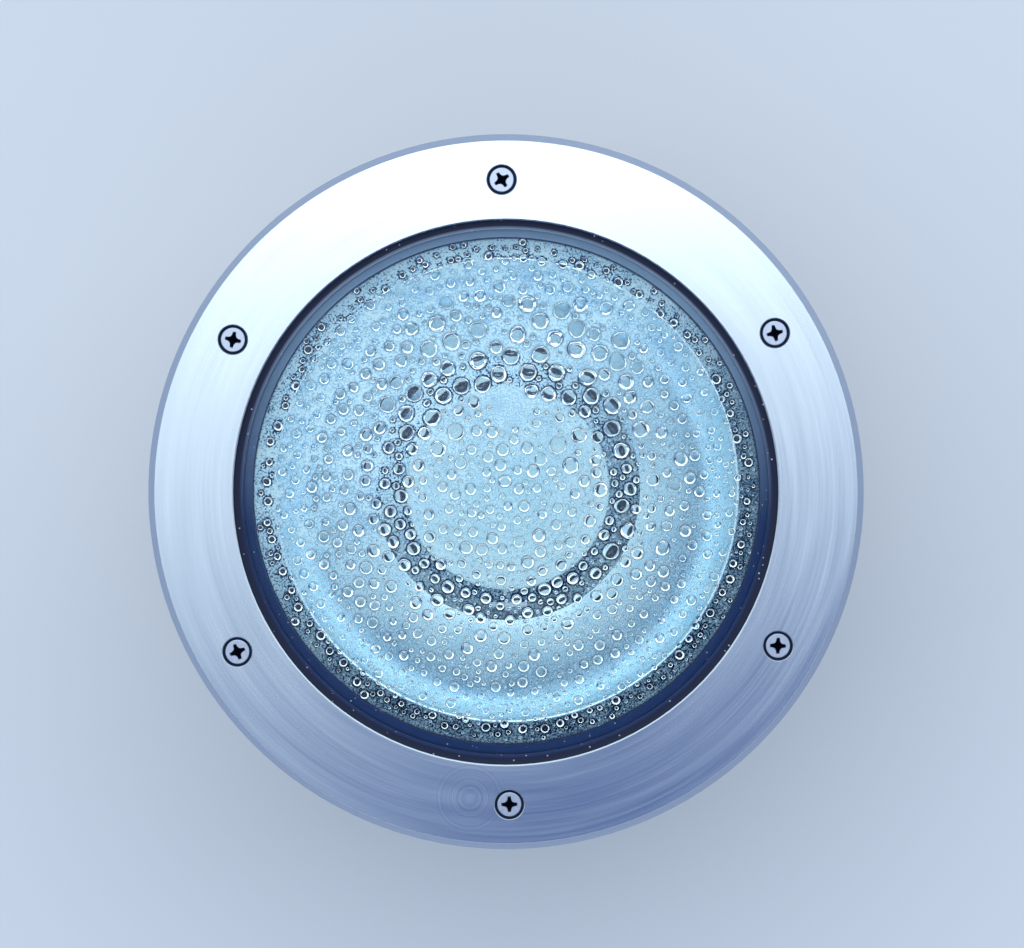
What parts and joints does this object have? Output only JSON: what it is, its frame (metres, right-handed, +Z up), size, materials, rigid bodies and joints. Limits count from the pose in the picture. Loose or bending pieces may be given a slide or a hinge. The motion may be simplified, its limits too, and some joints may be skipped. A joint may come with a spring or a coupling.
{
  "type": "in ground well light",
  "caption": "Round in-ground well light: a screwed stainless ring and thick glass over a swivelling, tilting lamp in a cast housing, set in a buried sleeve.",
  "frame": {"origin": "centre of the sleeve's underside, on the light's axis", "axes": "+Z up along the light's axis, out of the glass; +X towards the sleeve's supply entry, along the tilt axis"},
  "size_m": [0.22, 0.22, 0.265],
  "materials": {
    "moulded_sleeve": "moulded polypropylene, fine matt texture",
    "coated_casting": "black powder coat on die-cast aluminium",
    "black_polyamide": "moulded, satin",
    "black_silicone": "moulded, dull with a slight sheen",
    "turned_stainless": "turned and brushed in rings",
    "stainless_screws": "plain A2 stainless",
    "toughened_glass": "clear, polished",
    "zinc_plated_steel": "zinc plated",
    "black_knobs": "moulded, knurled edge",
    "black_carrier": "black stoved sheet",
    "anodised_reflector": "spun and anodised, satin bright",
    "low_friction_plastic": "smooth",
    "glazed_ceramic": "glazed steatite",
    "plated_brass": "bare and nickelled brass",
    "lead_insulation": "silicone rubber",
    "earth_insulation": "green silicone rubber",
    "pressed_glass": "pressed, ribbed",
    "aluminised_glass": "pressed glass with a silver coat",
    "cap_metal": "rolled thread",
    "vitrite": "black glass insulator",
    "solder": "soldered contact"
  },
  "bodies": {
    "sleeve": {"installation_sleeve": "moulded_sleeve"},
    "luminaire": {"housing": "coated_casting", "gland_body": "black_polyamide", "gland_seal": "black_silicone", "gland_nut": "black_polyamide", "entry_rings": "black_silicone", "entry_lock_nuts": "black_polyamide", "blanking_plug": "black_polyamide", "gear_tray": "zinc_plated_steel", "tray_screws": "zinc_plated_steel", "pivot_bush": "zinc_plated_steel", "friction_washer": "low_friction_plastic", "spring_washer": "zinc_plated_steel", "bush_nut": "zinc_plated_steel", "terminal_block": "glazed_ceramic", "terminal_screws": "plated_brass", "terminal_fixings": "plated_brass", "earth_washer": "plated_brass", "earth_screw": "plated_brass", "earth_lead": "earth_insulation", "supply_leads": "lead_insulation", "reflector": "anodised_reflector", "reflector_carrier": "black_carrier", "carrier_screws": "zinc_plated_steel", "reflector_retainer": "zinc_plated_steel"},
    "cover": {"trim_ring": "turned_stainless", "cover_screws": "stainless_screws", "glass": "toughened_glass", "gasket": "black_silicone"},
    "swivel": {"swivel_yoke": "zinc_plated_steel", "lamp_leads": "lead_insulation"},
    "lamp_head": {"gimbal_ring": "zinc_plated_steel", "tilt_pivot_screw": "zinc_plated_steel", "holder_cradle": "zinc_plated_steel", "cradle_rivets": "zinc_plated_steel", "lampholder": "glazed_ceramic", "holder_shell": "plated_brass", "holder_contact": "plated_brass", "holder_screws": "plated_brass", "lamp_lens": "pressed_glass", "lamp_bowl": "aluminised_glass", "lamp_capsule": "pressed_glass", "lamp_cap": "cap_metal", "lamp_insulator": "vitrite", "lamp_contact": "solder"},
    "lock_screw": {"swivel_lock_screw": "black_knobs"},
    "tilt_knob": {"tilt_lock_knob": "black_knobs"}
  },
  "joints": [
    {"name": "luminaire_lift", "type": "slide", "parent": "sleeve", "child": "luminaire", "axis": [0, 0, 1], "range_m": [0, 0.24]},
    {"name": "cover_lift", "type": "slide", "parent": "luminaire", "child": "cover", "axis": [0, 0, 1], "range_m": [0, 0.06]},
    {"name": "swivel_turn", "type": "hinge", "parent": "luminaire", "child": "swivel", "pos_m": [0, 0, 0.092], "axis": [0, 0, 1], "range_deg": [-175, 175]},
    {"name": "lamp_tilt", "type": "hinge", "parent": "swivel", "child": "lamp_head", "pos_m": [0, 0, 0.2], "axis": [1, 0, 0], "range_deg": [-15, 15], "deforming": ["lamp_leads"]},
    {"name": "swivel_lock_turn", "type": "hinge", "parent": "swivel", "child": "lock_screw", "pos_m": [-0.03, 0, 0.1], "axis": [0, 0, 1], "range_deg": [0, 180]},
    {"name": "tilt_lock_turn", "type": "hinge", "parent": "lamp_head", "child": "tilt_knob", "pos_m": [0.056, 0, 0.2], "axis": [1, 0, 0], "range_deg": [0, 180]}
  ]
}
